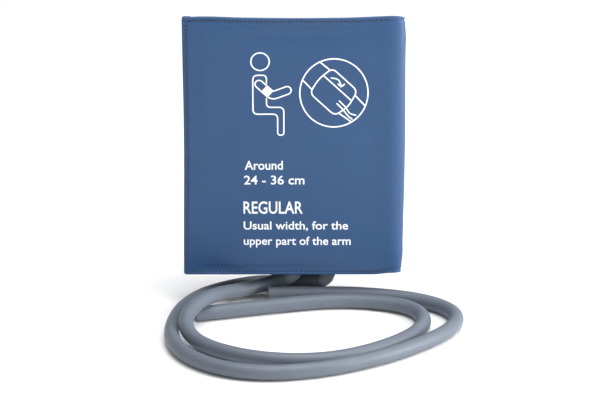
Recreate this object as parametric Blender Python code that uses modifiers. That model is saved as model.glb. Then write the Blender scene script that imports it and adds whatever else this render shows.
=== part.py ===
"""Blood pressure cuff, folded for storage, with its two air hoses.

The cuff is one long strip of sheet, folded like a concertina into four upright panels. Front to back they are
the strap end, the strap, the bladder panel and the bladder end. The folds are vertical hinges: right, left, right.
The bladder panel carries the ports and the hoses, which lie in two loops on the ground in front.
Lengths are in millimetres until they reach Blender. +X is right, +Y is away from the front, +Z is up, and the
origin is the middle of the folded pack.
"""
import math

import bmesh
import bpy
from mathutils import Vector

MM = 0.001

# Driving dimensions
PANEL_HEIGHT = 145.0       # width of the strip, upright in the folded pack
PACK_TOP = 74.5            # top of the front panel
PANEL_DROPS = {"strap_end": 0.0, "strap": 1.0, "bladder": 2.6, "bladder_end": 4.0}
FOLD_X = 58.8              # the fold lines stand this far left and right of the middle
FOLD_EDGE_RIGHT = 58.4     # where the sheets stop short of a right fold line
FOLD_EDGE_LEFT = -58.2     # where they stop short of the left fold line
FREE_EDGE_FRONT = -58.6    # free, hemmed edge of the strap end
FREE_EDGE_REAR = -57.4     # free, hemmed edge of the bladder end
COVER = 0.8                # thickness of the outer sheet
LINING = 0.8               # thickness of the inner sheet
GAP = 0.3                  # clearance between pieces that lie on each other
CORNER = 2.0               # corner radius of the hemmed corners
PACK_DEPTH = 19.9

# Depths of the panels, measured back from the front face
STRAP_END_DEPTH = (0.0, 2.8)
HOOK_DEPTH = (3.1, 4.1)
STRAP_DEPTH = (4.5, 7.6)
BLADDER_DEPTH = (8.2, 14.2)
BLADDER_END_DEPTH = (14.6, 18.6)
LOOP_DEPTH = (18.9, 19.9)
FOLD_DEPTHS = {"strap_end_fold": 4.3, "strap_fold": 7.9, "bladder_end_fold": 14.4}

# Patches on the faces: left, right, bottom, top
HOOK_PATCH = (-54.0, -12.0, -63.0, 67.0)
LOOP_PATCH = (-50.0, 50.0, -66.0, 62.0)

# Bladder and ports
FRONT_BLADDER = (-54.0, 56.0, -57.7, 64.0)
REAR_BLADDER = (-50.0, 56.0, -66.0, 62.0)
PORT_WIDTH = 13.0
PORT_THICKNESS = 3.8
PORT_TOP = -58.0
ELBOW_TOP = -66.3
ELBOW_X = {1: 1.5, 2: 19.0}
SLOT = (-13.0, 24.0)       # left and right ends of the hose exit slot in the bladder panel's bottom hem
SLOT_TOP = -69.6

# Hoses
HOSE_DIAMETER = 8.0
GROUND = -88.3             # the level that the hoses lie on
LIE = 4.15                 # height of a hose's centreline above the ground where it lies flat
HOSE_STEP = 10.0           # spacing of the points along a hose

# Route points of the hoses: x, y, height of the centreline above the ground
HOSE_1_ROUTE = [
    (-4.2, 0.9, 11.4), (-9.6, 2.9, 8.8), (-15.4, 3.6, 6.6), (-21.2, 1.3, 5.8), (-26.9, -3.5, 6.3),
    (-32.6, -10.2, 7.8), (-38, -17.8, 9.8), (-42.7, -25.4, 11.6), (-47.2, -32.9, 12.7), (-51.6, -40.2, 12.6),
    (-54.9, -47.2, 11.4), (-56.7, -54, 9.6), (-56.3, -60.6, 7.7), (-53.8, -66.7, 5.9), (-49.4, -72.4, 4.7),
    (-43.4, -78.2, LIE), (-36.1, -84, LIE), (-27.4, -89, LIE), (-17.6, -92.8, LIE), (-6.8, -95.1, LIE),
    (3.5, -95.7, LIE), (14.3, -94.6, LIE), (24.6, -91.6, LIE), (35.3, -86.4, LIE), (46, -79, LIE),
    (56, -69.8, LIE), (64.3, -59.3, LIE), (68.9, -48, LIE), (69.2, -37.3, LIE), (65.4, -28.3, LIE),
    (58, -21.9, LIE), (48, -17.8, LIE), (36.8, -15.4, LIE), (25.3, -14.9, LIE), (14.4, -16.1, LIE),
    (3.5, -18.3, LIE), (-7.3, -21.1, LIE), (-18.2, -24, LIE), (-28.9, -27, LIE), (-53.2, -34.1, LIE),
]
HOSE_2_ROUTE = [
    (14.4, 2.2, 9.6), (10, 4.6, 8.5), (4.6, 7.2, 7.2), (-1.4, 9.6, 5.9), (-8, 11.4, 4.7),
    (-15.2, 12.2, LIE), (-22.6, 10.9, LIE), (-29.7, 7.8, LIE), (-36.5, 4, LIE), (-43.3, -0.8, LIE),
    (-49.6, -6.8, LIE), (-55, -14.8, LIE), (-59.6, -25, LIE), (-62.8, -38, LIE), (-64.3, -52, LIE),
    (-63.6, -66, LIE), (-59.8, -79.6, LIE), (-52.2, -92, LIE), (-41.6, -101.6, LIE), (-29.4, -107.8, LIE),
    (-17, -110.4, LIE), (-6.7, -110.6, LIE), (3, -109, LIE), (12.7, -106.6, LIE), (23, -103, LIE),
    (43.8, -92, LIE), (54.3, -84.5, LIE), (64.3, -76, LIE), (74.3, -66, LIE), (82.4, -55, LIE),
    (86.9, -43.8, LIE), (86.5, -33.4, LIE), (81.6, -24.6, LIE), (74.4, -18, LIE), (65.7, -13, LIE),
    (56.6, -9.7, LIE), (36.4, -5.6, LIE), (14.5, -4.3, LIE), (-6, -4.4, LIE), (-14.1, -4.7, LIE),
]

# Colours: linear red, green, blue, then roughness
FINISHES = {
    "outer_sheet": ((0.062, 0.128, 0.262), 0.45),
    "inner_sheet": ((0.045, 0.092, 0.19), 0.6),
    "interlining": ((0.55, 0.56, 0.55), 0.9),
    "hook": ((0.03, 0.05, 0.11), 0.7),
    "loop": ((0.04, 0.075, 0.16), 0.95),
    "bladder_rubber": ((0.16, 0.17, 0.19), 0.5),
    "relief_rubber": ((0.1, 0.115, 0.14), 0.5),
    "hose": ((0.19, 0.225, 0.27), 0.5),
}


def clear_scene():
    for item in list(bpy.data.objects):
        bpy.data.objects.remove(item, do_unlink=True)


def new_collection(name):
    group = bpy.data.collections.new(name)
    bpy.context.scene.collection.children.link(group)
    return group


def new_material(name, colour, roughness):
    material = bpy.data.materials.new(name)
    material.use_nodes = True
    shader = material.node_tree.nodes["Principled BSDF"]
    shader.inputs["Base Color"].default_value = (*colour, 1.0)
    shader.inputs["Roughness"].default_value = roughness
    shader.inputs["Metallic"].default_value = 0.0
    return material


def depth_to_y(depth):
    return depth - PACK_DEPTH / 2


def add_fold(name, x, parent=None):
    """An empty on a fold line, which keeps its place as a property."""
    fold = bpy.data.objects.new(name, None)
    CUFF.objects.link(fold)
    place = Vector((x, depth_to_y(FOLD_DEPTHS[name]), 0.0)) * MM
    fold["place"] = place
    fold.location = place
    if parent:
        fold.parent = parent
        fold.location = place - Vector(parent["place"])
    return fold


def add_piece(name, mesh_builder, finish, fold=None):
    """One solid piece. Its mesh is built around the middle of the pack, and its origin goes on its fold line."""
    mesh = bpy.data.meshes.new(name)
    offset = Vector(fold["place"]) if fold else Vector()
    bmesh.ops.scale(mesh_builder, vec=(MM, MM, MM), verts=mesh_builder.verts)
    bmesh.ops.translate(mesh_builder, vec=-offset, verts=mesh_builder.verts)
    bmesh.ops.recalc_face_normals(mesh_builder, faces=mesh_builder.faces)
    mesh_builder.to_mesh(mesh)
    mesh_builder.free()
    mesh.materials.append(MATERIALS[finish])
    piece = bpy.data.objects.new(name, mesh)
    piece.parent = fold
    CUFF.objects.link(piece)
    return piece


def block(x_range, depths, z_range):
    """A box between two sides, two depths and two heights."""
    builder = bmesh.new()
    bmesh.ops.create_cube(builder, size=1.0)
    low = Vector((x_range[0], depth_to_y(depths[0]), z_range[0]))
    high = Vector((x_range[1], depth_to_y(depths[1]), z_range[1]))
    bmesh.ops.scale(builder, vec=high - low, verts=builder.verts)
    bmesh.ops.translate(builder, vec=(low + high) / 2, verts=builder.verts)
    return builder


def round_corners(builder, radius, keep=lambda x: True):
    """Rounds the edges that run front to back, on the sides where keep(x) holds."""
    chosen = []
    for edge in builder.edges:
        first, second = (vertex.co for vertex in edge.verts)
        if abs(first.y - second.y) > 1e-4 and keep(first.x):
            chosen.append(edge)
    bmesh.ops.bevel(builder, geom=chosen, offset=radius, segments=4, profile=0.5, affect="EDGES")


def panel_heights(panel, inset=0.0):
    top = PACK_TOP - PANEL_DROPS[panel]
    return top - PANEL_HEIGHT + inset, top - inset


def outer_cover(name, panel, x_range, depths, opens_to, fold, free_left):
    """The outer sheet of a panel: a shallow tray whose hems turn over the top, the bottom and a free left edge.
    opens_to is +1 where the tray opens away from the front, and -1 where it opens towards it."""
    builder = block(x_range, depths, panel_heights(panel))
    if free_left:
        round_corners(builder, CORNER, keep=lambda x: x < 0)
    removed = []
    for face in builder.faces:
        face.normal_update()
        open_side = face.normal.y * opens_to > 0.9
        fold_side = face.normal.x > 0.9 or (face.normal.x < -0.9 and not free_left)
        if open_side or fold_side:
            removed.append(face)
    bmesh.ops.delete(builder, geom=removed, context="FACES")
    piece = add_piece(name, builder, "outer_sheet", fold)
    shell = piece.modifiers.new("sheet_thickness", "SOLIDIFY")
    shell.thickness = COVER * MM
    shell.offset = -1.0
    shell.use_even_offset = True
    return piece


def inner_sheet(name, panel, x_range, depths, finish, fold, inset=COVER + GAP, corner=1.0):
    """A flat sheet that lies inside a cover's hems."""
    builder = block(x_range, depths, panel_heights(panel, inset))
    round_corners(builder, corner)
    return add_piece(name, builder, finish, fold)


def patch(name, area, depths, finish, fold):
    builder = block(area[:2], depths, area[2:])
    round_corners(builder, 3.0)
    return add_piece(name, builder, finish, fold)


def bladder_half(name, area, depths, fold):
    """A soft flat pillow with round edges."""
    builder = block(area[:2], depths, area[2:])
    round_corners(builder, 9.0)
    piece = add_piece(name, builder, "bladder_rubber", fold)
    soft = piece.modifiers.new("soft_edges", "BEVEL")
    soft.width = 0.42 * (depths[1] - depths[0]) * MM
    soft.segments = 3
    soft.limit_method = "ANGLE"
    soft.angle_limit = math.radians(60)
    soft.harden_normals = False
    return piece


def loft(name, sections, finish, sides=20):
    """A closed solid through oval sections. Each section is centre, tangent, half width, half thickness."""
    builder = bmesh.new()
    rings = []
    for centre, tangent, half_width, half_thickness in sections:
        along = Vector(tangent).normalized()
        across = Vector((0, 1, 0)).cross(along).normalized()
        through = along.cross(across).normalized()
        ring = []
        for k in range(sides):
            angle = 2 * math.pi * k / sides
            point = Vector(centre) + across * half_width * math.cos(angle) + through * half_thickness * math.sin(angle)
            ring.append(builder.verts.new(point))
        rings.append(ring)
    for lower, upper in zip(rings, rings[1:]):
        for k in range(sides):
            nxt = (k + 1) % sides
            builder.faces.new((lower[k], lower[nxt], upper[nxt], upper[k]))
    builder.faces.new(list(reversed(rings[0])))
    builder.faces.new(rings[-1])
    return add_piece(name, builder, finish)


def bezier(p0, p1, p2, p3, t):
    u = 1 - t
    point = p0 * u ** 3 + p1 * 3 * u * u * t + p2 * 3 * u * t * t + p3 * t ** 3
    tangent = (p1 - p0) * 3 * u * u + (p2 - p1) * 6 * u * t + (p3 - p2) * 3 * t * t
    return point, tangent


def port(number):
    """A flat oval neck from the bladder's lower edge to the strain relief."""
    y = depth_to_y(sum(BLADDER_DEPTH) / 2)
    half_thickness = PORT_THICKNESS / 2
    sections = []
    for share, half_width in ((0.0, PORT_WIDTH / 2), (0.35, PORT_WIDTH / 2 - 0.6), (0.7, 4.9), (1.0, 4.6)):
        z = PORT_TOP + share * (ELBOW_TOP + GAP - PORT_TOP)
        sections.append((Vector((ELBOW_X[number], y, z)), (0, 0, -1), half_width, half_thickness))
    return loft(f"bladder_port_{number}", sections, "bladder_rubber")


def strain_relief(number, route):
    """A moulded elbow: flat and upright at the port, round where it meets the hose."""
    y = depth_to_y(sum(BLADDER_DEPTH) / 2)
    first, second = (Vector((x, y_, GROUND + h)) for x, y_, h in route[:2])
    hose_way = (second - first).normalized()
    start = Vector((ELBOW_X[number], y, ELBOW_TOP))
    end = first - hose_way * GAP
    steps = 12
    sections = []
    for k in range(steps + 1):
        t = k / steps
        centre, tangent = bezier(start, start - Vector((0, 0, 6.5)), end - hose_way * 5.0, end, t)
        growth = min(1.0, max(0.0, (t - 0.5) / 0.5))
        growth = growth * growth * (3 - 2 * growth)
        half_width = 4.5 + (HOSE_DIAMETER / 2 - 4.5) * growth
        half_thickness = PORT_THICKNESS / 2 + (HOSE_DIAMETER / 2 - PORT_THICKNESS / 2) * growth
        sections.append((centre, tangent, half_width, half_thickness))
    return loft(f"strain_relief_{number}", sections, "relief_rubber")


def smooth_route(route, step):
    """Even points along a centripetal Catmull-Rom curve through the route's own points."""
    points = [Vector((x, y, GROUND + h)) for x, y, h in route]
    points = [points[0] * 2 - points[1]] + points + [points[-1] * 2 - points[-2]]
    fine = []
    for a, b, c, d in zip(points, points[1:], points[2:], points[3:]):
        t1 = math.sqrt((b - a).length)
        t2 = t1 + math.sqrt((c - b).length)
        t3 = t2 + math.sqrt((d - c).length)
        for k in range(12):
            t = t1 + (t2 - t1) * k / 12
            ab = a.lerp(b, t / t1)
            bc = b.lerp(c, (t - t1) / (t2 - t1))
            cd = c.lerp(d, (t - t2) / (t3 - t2))
            abc = ab.lerp(bc, t / t2)
            bcd = bc.lerp(cd, (t - t1) / (t3 - t1))
            fine.append(abc.lerp(bcd, (t - t1) / (t2 - t1)))
    fine.append(points[-2])
    travelled = [0.0]
    for first, second in zip(fine, fine[1:]):
        travelled.append(travelled[-1] + (second - first).length)
    count = round(travelled[-1] / step)
    even = []
    index = 0
    for k in range(count + 1):
        target = travelled[-1] * k / count
        while index < len(fine) - 2 and travelled[index + 1] < target:
            index += 1
        share = (target - travelled[index]) / (travelled[index + 1] - travelled[index])
        even.append(fine[index].lerp(fine[index + 1], min(1.0, share)))
    return even


def hose(number, route):
    curve = bpy.data.curves.new(f"hose_{number}", "CURVE")
    curve.dimensions = "3D"
    curve.bevel_depth = HOSE_DIAMETER / 2 * MM
    curve.bevel_resolution = 4
    curve.use_fill_caps = True
    points = smooth_route(route, HOSE_STEP)
    spline = curve.splines.new("POLY")
    spline.points.add(len(points) - 1)
    for target, point in zip(spline.points, points):
        target.co = (*(point * MM), 1.0)
    curve.materials.append(MATERIALS["hose"])
    piece = bpy.data.objects.new(f"hose_{number}", curve)
    CUFF.objects.link(piece)
    return piece


def cut_hose_slot(cover):
    """The slot in the bladder panel's bottom hem that the strain reliefs and hoses come out of."""
    front = BLADDER_DEPTH[0] - 2.0
    builder = block(SLOT, (front, BLADDER_DEPTH[1] + 2.0), (GROUND + LIE, SLOT_TOP))
    bmesh.ops.scale(builder, vec=(MM, MM, MM), verts=builder.verts)
    mesh = bpy.data.meshes.new("hose_slot_cutter")
    builder.to_mesh(mesh)
    builder.free()
    cutter = bpy.data.objects.new("hose_slot_cutter", mesh)
    cutter.hide_render = True
    cutter.display_type = "WIRE"
    CUTTERS.objects.link(cutter)
    slot = cover.modifiers.new("hose_slot", "BOOLEAN")
    slot.operation = "DIFFERENCE"
    slot.solver = "EXACT"
    slot.object = cutter


def strap_end(fold):
    """Front panel: printed outer sheet, interlining, lining, and the hook patch behind it."""
    front, back = STRAP_END_DEPTH
    sides = (FREE_EDGE_FRONT, FOLD_EDGE_RIGHT)
    inner = (FREE_EDGE_FRONT + COVER + GAP, FOLD_EDGE_RIGHT)
    outer_cover("strap_end_outer_cover", "strap_end", sides, (front, back), 1, fold, free_left=True)
    inner_sheet("strap_end_interlining", "strap_end", inner, (1.1, 1.7), "interlining", fold)
    inner_sheet("strap_end_lining", "strap_end", inner, (back - LINING, back), "inner_sheet", fold)
    patch("hook_patch", HOOK_PATCH, HOOK_DEPTH, "hook", fold)


def strap(fold):
    """Second panel: lining in front, outer sheet behind."""
    front, back = STRAP_DEPTH
    sides = (FOLD_EDGE_LEFT, FOLD_EDGE_RIGHT)
    outer_cover("strap_outer_cover", "strap", sides, (front, back), -1, fold, free_left=False)
    inner_sheet("strap_interlining", "strap", sides, (5.6, 6.5), "interlining", fold)
    inner_sheet("strap_lining", "strap", sides, (front, front + LINING), "inner_sheet", fold)


def bladder_panel():
    """Third panel, which stays still: outer sheet in front, bladder, lining behind, and the hoses."""
    front, back = BLADDER_DEPTH
    sides = (FOLD_EDGE_LEFT, FOLD_EDGE_RIGHT)
    cover = outer_cover("bladder_panel_outer_cover", "bladder", sides, (front, back), 1, None, free_left=False)
    cut_hose_slot(cover)
    inner_sheet("bladder_panel_lining", "bladder", sides, (back - LINING, back), "inner_sheet", None)
    bladder_half("bladder_front_half", FRONT_BLADDER, (front + COVER + GAP, back - LINING - GAP), None)
    for number, route in ((1, HOSE_1_ROUTE), (2, HOSE_2_ROUTE)):
        port(number)
        strain_relief(number, route)
        hose(number, route)


def bladder_end(fold):
    """Last panel: lining in front, bladder, outer sheet behind, and the loop patch on its back."""
    front, back = BLADDER_END_DEPTH
    sides = (FREE_EDGE_REAR, FOLD_EDGE_RIGHT)
    inner = (FREE_EDGE_REAR + COVER + GAP, FOLD_EDGE_RIGHT)
    outer_cover("bladder_end_outer_cover", "bladder_end", sides, (front, back), -1, fold, free_left=True)
    inner_sheet("bladder_end_lining", "bladder_end", inner, (front, front + LINING), "inner_sheet", fold)
    bladder_half("bladder_rear_half", REAR_BLADDER, (front + LINING + GAP, back - COVER - GAP), fold)
    patch("loop_patch", LOOP_PATCH, LOOP_DEPTH, "loop", fold)


def build():
    strap_fold = add_fold("strap_fold", -FOLD_X)
    strap_end_fold = add_fold("strap_end_fold", FOLD_X, strap_fold)
    bladder_end_fold = add_fold("bladder_end_fold", FOLD_X)
    strap_end(strap_end_fold)
    strap(strap_fold)
    bladder_panel()
    bladder_end(bladder_end_fold)


clear_scene()
CUFF = new_collection("blood_pressure_cuff")
CUTTERS = new_collection("cutters")
MATERIALS = {name: new_material(name, *finish) for name, finish in FINISHES.items()}
build()
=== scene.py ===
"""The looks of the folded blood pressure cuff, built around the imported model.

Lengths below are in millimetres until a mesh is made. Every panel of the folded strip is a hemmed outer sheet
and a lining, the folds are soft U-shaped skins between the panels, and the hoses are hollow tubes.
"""
import math

import bmesh
import bpy
import numpy as np
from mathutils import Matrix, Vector


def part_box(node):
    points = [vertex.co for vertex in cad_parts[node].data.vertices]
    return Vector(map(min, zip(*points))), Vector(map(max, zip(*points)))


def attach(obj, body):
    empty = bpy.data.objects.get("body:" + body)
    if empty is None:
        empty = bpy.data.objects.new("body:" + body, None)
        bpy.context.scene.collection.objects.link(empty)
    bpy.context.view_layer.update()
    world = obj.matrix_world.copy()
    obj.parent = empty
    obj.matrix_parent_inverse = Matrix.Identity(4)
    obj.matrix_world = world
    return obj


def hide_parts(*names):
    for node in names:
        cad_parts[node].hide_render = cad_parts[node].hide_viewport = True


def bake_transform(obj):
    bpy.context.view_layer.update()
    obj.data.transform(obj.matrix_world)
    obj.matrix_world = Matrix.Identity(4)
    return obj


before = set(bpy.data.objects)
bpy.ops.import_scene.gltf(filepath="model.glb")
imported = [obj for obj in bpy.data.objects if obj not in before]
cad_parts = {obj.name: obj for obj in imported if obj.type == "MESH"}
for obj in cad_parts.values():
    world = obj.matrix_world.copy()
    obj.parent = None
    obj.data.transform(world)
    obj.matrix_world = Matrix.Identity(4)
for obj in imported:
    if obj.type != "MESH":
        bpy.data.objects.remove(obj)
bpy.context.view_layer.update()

MM = 0.001
rng = np.random.default_rng(11)


# ---- small helpers

def smooth(low, high, value):
    """0 below low, 1 above high, and an even slope between them."""
    share = np.clip((value - low) / (high - low), 0.0, 1.0)
    return share * share * (3 - 2 * share)


def hill(value, centre, width):
    return np.exp(-((value - centre) / width) ** 2)


def unit(vectors):
    """Directions of a vector, or of each row of an array of vectors."""
    return vectors / np.linalg.norm(vectors, axis=-1, keepdims=True)


def mix(first, second, share):
    return first + (second - first) * share


def evenly(points, count_for):
    """Even points along a path, as many as count_for gives for its length, and that length."""
    points = np.array(points)
    travelled = np.r_[0, np.cumsum(np.linalg.norm(np.diff(points, axis=0), axis=1))]
    where = np.linspace(0, travelled[-1], count_for(travelled[-1]))
    return np.stack([np.interp(where, travelled, column) for column in points.T], axis=1), travelled[-1]


def node_box(name):
    """Lowest and highest corners of a CAD node, in millimetres."""
    low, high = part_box(name)
    return np.array(low) / MM, np.array(high) / MM


def mesh_piece(name, points, faces, materials, face_materials=None, smooth_shade=True):
    """A mesh object from points in millimetres."""
    mesh = bpy.data.meshes.new(name)
    mesh.from_pydata((np.asarray(points, float) * MM).tolist(), [], [tuple(f) for f in faces])
    for material in materials:
        mesh.materials.append(material)
    if face_materials is not None:
        mesh.polygons.foreach_set("material_index", np.asarray(face_materials, np.int32))
    if smooth_shade:
        mesh.shade_smooth()
    mesh.update()
    piece = bpy.data.objects.new(name, mesh)
    bpy.context.scene.collection.objects.link(piece)
    return piece


def grid_faces(rows, columns, keep=None, flip=False, close_rows=False, start=0):
    """Quads over a grid of points stored row by row."""
    faces = []
    for j in range(rows if close_rows else rows - 1):
        nj = (j + 1) % rows
        for i in range(columns - 1):
            if keep is not None and not keep(i, j):
                continue
            quad = (j * columns + i, j * columns + i + 1, nj * columns + i + 1, nj * columns + i)
            if flip:
                quad = quad[::-1]
            faces.append(tuple(start + q for q in quad))
    return faces


def slab_faces(rows, columns):
    """Faces of a closed slab, whose front grid of points is followed by its back grid."""
    count = rows * columns
    faces = grid_faces(rows, columns) + grid_faces(rows, columns, flip=True, start=count)
    rim = list(range(columns)) + [j * columns + columns - 1 for j in range(1, rows)]
    rim += [(rows - 1) * columns + i for i in range(columns - 2, -1, -1)]
    rim += [j * columns for j in range(rows - 2, 0, -1)]
    return faces + [(b, a, a + count, b + count) for a, b in zip(rim, rim[1:] + rim[:1])]


def tube_faces(rings, sides, start=0):
    """Faces of a closed tube, whose points follow ring by ring."""
    faces = []
    for j in range(rings - 1):
        here, there = start + j * sides, start + (j + 1) * sides
        for i in range(sides):
            nxt = (i + 1) % sides
            faces.append((here + i, here + nxt, there + nxt, there + i))
    last = start + (rings - 1) * sides
    return faces + [tuple(range(start, start + sides))[::-1], tuple(range(last, last + sides))]


def apply_modifiers(piece):
    """Makes the modifiers' result the piece's own mesh."""
    graph = bpy.context.evaluated_depsgraph_get()
    made = bpy.data.meshes.new_from_object(piece.evaluated_get(graph))
    old = piece.data
    piece.modifiers.clear()
    piece.data = made
    bpy.data.meshes.remove(old)


def outward(piece):
    """Turns every face outward."""
    builder = bmesh.new()
    builder.from_mesh(piece.data)
    bmesh.ops.recalc_face_normals(builder, faces=builder.faces)
    builder.to_mesh(piece.data)
    builder.free()
    return piece


def sharpen(piece, degrees):
    """Keeps the edges sharp that bend by more than this."""
    piece.data.set_sharp_from_angle(angle=math.radians(degrees))


def settle(piece, body, node=None):
    """Fixes a piece to its body, in place of a CAD node if one is named."""
    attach(piece, body)
    if node:
        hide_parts(node)


# ---- materials

class Look:
    """A material under way: its shader, and the textures that drive it."""

    def __init__(self, name, colour, roughness, specular, sheen=0.0):
        self.material = bpy.data.materials.new(name)
        self.material.use_nodes = True
        self.nodes, self.links = self.material.node_tree.nodes, self.material.node_tree.links
        self.colour = colour
        self.shader = self.nodes["Principled BSDF"]
        for socket, value in (("Base Color", (*colour, 1.0)), ("Roughness", roughness),
                              ("Specular IOR Level", specular), ("Sheen Weight", sheen)):
            self.shader.inputs[socket].default_value = value

    def add(self, kind, values=(), links=()):
        """A node with its sockets set from pairs (socket, value) and linked from pairs (socket, output)."""
        node = self.nodes.new(kind)
        for socket, value in values:
            node.inputs[socket].default_value = value
        for socket, output in links:
            self.links.new(output, node.inputs[socket])
        return node

    def texture(self, kind, *values):
        """A texture node that reads the object coordinates."""
        where = self.add("ShaderNodeTexCoord").outputs["Object"]
        return self.add(kind, values, [("Vector", where)])

    def noise(self, scale, detail=3.0, rough=0.5):
        node = self.texture("ShaderNodeTexNoise", ("Scale", scale), ("Detail", detail), ("Roughness", rough))
        return node.outputs["Fac"]

    def combine(self, first, second, weight):
        """first + weight * second, for heights."""
        node = self.add("ShaderNodeMath", [(1, weight)], [(0, second), (2, first)])
        node.operation = "MULTIPLY_ADD"
        return node.outputs[0]

    def paint(self, value, *stops):
        """Base colour over a texture's value. A stop is a value and how bright the colour is there."""
        node = self.add("ShaderNodeValToRGB", links=[("Fac", value)])
        elements = node.color_ramp.elements
        tones = [(position, (*(c * factor for c in self.colour), 1)) for position, factor in stops]
        for end in (0, -1):
            elements[end].position, elements[end].color = tones[end]
        for position, tone in tones[1:-1]:
            elements.new(position).color = tone
        self.links.new(node.outputs["Color"], self.shader.inputs["Base Color"])

    def gloss(self, value, low, high):
        """Roughness from low to high over a texture's value."""
        node = self.add("ShaderNodeMapRange", [("To Min", low), ("To Max", high)], [("Value", value)])
        self.links.new(node.outputs["Result"], self.shader.inputs["Roughness"])

    def bump(self, height, distance, strength):
        values = [("Distance", distance), ("Strength", strength)]
        node = self.add("ShaderNodeBump", values, [("Height", height)])
        self.links.new(node.outputs["Normal"], self.shader.inputs["Normal"])


def leatherette(name, colour):
    """Smooth coated sheet: a fine pebble grain, slightly uneven colour and gloss."""
    look = Look(name, colour, 0.42, 0.42)
    broad = look.noise(38.0, 4.0, 0.55)
    look.paint(broad, (0.25, 0.95), (0.5, 1.0), (0.8, 1.06))
    look.gloss(broad, 0.36, 0.5)
    pebbles = look.texture("ShaderNodeTexVoronoi", ("Scale", 1500.0)).outputs["Distance"]
    look.bump(look.combine(look.noise(900.0), pebbles, 0.8), 0.00006, 0.5)
    return look.material


def woven(name, colour, fineness=1900.0, roughness=0.8, sheen=0.25):
    """A plain weave of crossing threads."""
    look = Look(name, colour, roughness, 0.25, sheen)
    scale = fineness / 6.283
    waves = [look.texture("ShaderNodeTexWave", ("Scale", scale), ("Distortion", 0.4)) for _ in range(2)]
    waves[0].bands_direction, waves[1].bands_direction = "X", "Z"
    both = look.add("ShaderNodeMath", links=[(k, wave.outputs["Fac"]) for k, wave in enumerate(waves)])
    both.operation = "MAXIMUM"
    weave = both.outputs[0]
    look.paint(look.combine(look.noise(120.0, 4.0), weave, 0.35), (0.3, 0.8), (0.6, 1.0), (0.95, 1.25))
    look.bump(weave, 0.00012, 0.7)
    return look.material


def felt(name, colour):
    look = Look(name, colour, 0.95, 0.15, 0.3)
    fibres = look.noise(1300.0, 5.0, 0.7)
    look.paint(fibres, (0.3, 0.75), (0.7, 1.1))
    look.bump(fibres, 0.0003, 0.7)
    return look.material


def rubber(name, colour, roughness):
    """Soft extruded or moulded rubber with a slightly dusty, uneven skin."""
    look = Look(name, colour, roughness, 0.38)
    broad = look.noise(60.0, 5.0, 0.6)
    look.paint(broad, (0.25, 0.93), (0.55, 1.0), (0.8, 1.08))
    look.gloss(broad, roughness - 0.08, roughness + 0.1)
    look.bump(look.noise(2200.0, 2.0), 0.00003, 0.5)
    return look.material


def twisted_thread(name, colour):
    look = Look(name, colour, 0.6, 0.3, 0.3)
    twist = look.noise(3500.0, 2.0)
    look.paint(twist, (0.3, 0.7), (0.7, 1.4))
    look.bump(twist, 0.00006, 0.6)
    return look.material


def printed_ink(name, colour):
    look = Look(name, colour, 0.5, 0.4)
    wear = look.noise(700.0, 4.0, 0.6)
    look.paint(wear, (0.2, 0.88), (0.45, 1.0), (1.0, 1.0))
    look.gloss(wear, 0.42, 0.6)
    return look.material


OUTER = leatherette("outer_leatherette", (0.021, 0.069, 0.174))
INNER = woven("inner_lining", (0.045, 0.09, 0.19))
FELT = felt("interlining_felt", (0.5, 0.5, 0.48))
THREAD = twisted_thread("seam_thread", (0.004, 0.016, 0.03))
HOOK = woven("hook_tape", (0.03, 0.055, 0.12), 1500.0, 0.7, 0.1)
LOOP = woven("loop_pile", (0.04, 0.085, 0.19), 900.0, 0.95, 0.6)
HOSE = rubber("hose_rubber", (0.128, 0.149, 0.184), 0.43)
RELIEF = rubber("relief_rubber", (0.126, 0.147, 0.181), 0.45)
BLADDER = rubber("bladder_rubber", (0.17, 0.18, 0.2), 0.55)
INK = printed_ink("print_ink", (0.86, 0.89, 0.93))


# ---- camera

FRONT_Y = node_box("strap_end_outer_cover")[0][1]
FLOOR_Z = node_box("hose_2")[0][2] - 0.25
ELEVATION = math.radians(20.0)
DISTANCE = 1312.0
LENS = 146.1
LOOK_AT = Vector((3.5, FRONT_Y, -27.6))


def make_camera():
    data = bpy.data.cameras.new("camera")
    data.lens = LENS
    data.sensor_width = 36.0
    data.clip_end = 20.0
    camera = bpy.data.objects.new("camera", data)
    bpy.context.scene.collection.objects.link(camera)
    away = Vector((0, math.cos(ELEVATION), -math.sin(ELEVATION)))
    camera.location = (LOOK_AT - away * DISTANCE) * MM
    camera.rotation_euler = away.to_track_quat("-Z", "Y").to_euler()
    bpy.context.scene.camera = camera


make_camera()


# ---- hoses

HOSE_RADIUS = 4.0
BORE_RADIUS = 2.1
BORE_DEPTH = 22.0
END_LIP = 0.35        # rounding of the cut end's rim
HOSE_SIDES = 32
RING_STEP = 2.0       # distance of the rings along a hose
GROUND = -88.3
LIE = 4.15            # height of the centreline where a hose lies on the ground

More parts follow.
